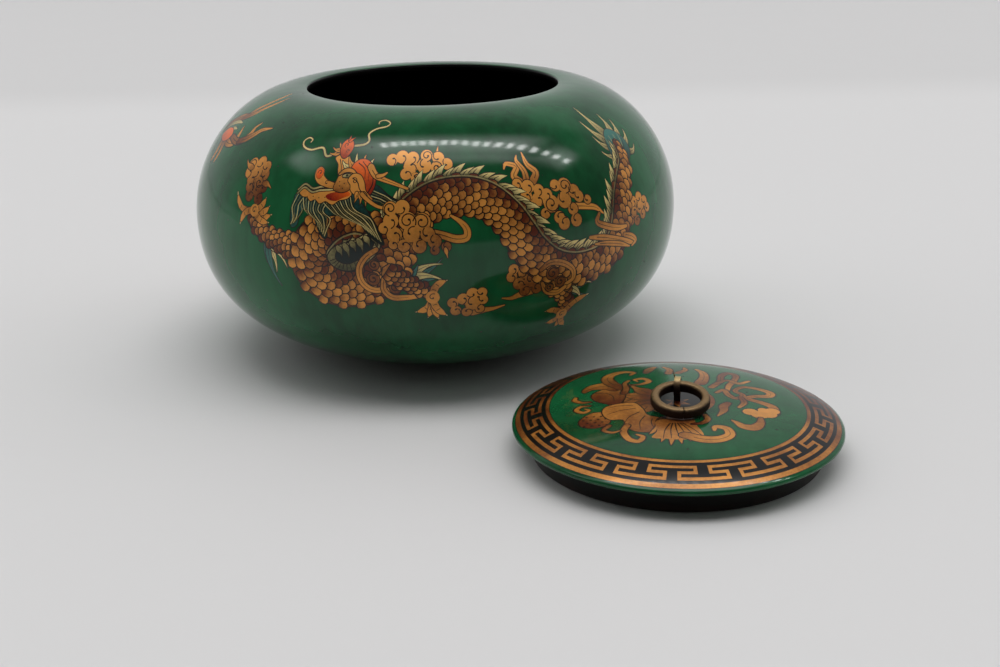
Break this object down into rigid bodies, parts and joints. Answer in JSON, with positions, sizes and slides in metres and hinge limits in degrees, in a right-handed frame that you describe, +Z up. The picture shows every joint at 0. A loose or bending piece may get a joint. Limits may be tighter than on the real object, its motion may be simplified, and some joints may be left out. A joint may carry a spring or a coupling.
{
  "type": "lacquered lidded pot",
  "caption": "Squat round lacquer pot with a painted dragon, its domed lid with key-fret border and brass ring pull lying beside it.",
  "frame": {"origin": "middle of the pot's underside, on the surface that it stands on", "axes": "+Z up along the pot's axis, -Y towards the front, where the lid lies and the dragon shows"},
  "size_m": [0.2438, 0.2913, 0.1068],
  "materials": {
    "green_lacquer": "deep green gloss lacquer with flat gold painting, black inside and below",
    "aged_brass": "dull brass with dark patina"
  },
  "bodies": {
    "pot_and_lid": {"pot": "green_lacquer", "lid": "green_lacquer", "pull_pin": "aged_brass"},
    "pull_ring": {"pull_ring": "aged_brass"}
  },
  "joints": [
    {"name": "ring_swing", "type": "hinge", "parent": "pot_and_lid", "child": "pull_ring", "pos_m": [0.08657, -0.13408, 0.02319], "axis": [-1, 0, 0], "range_deg": [0, 200]}
  ]
}
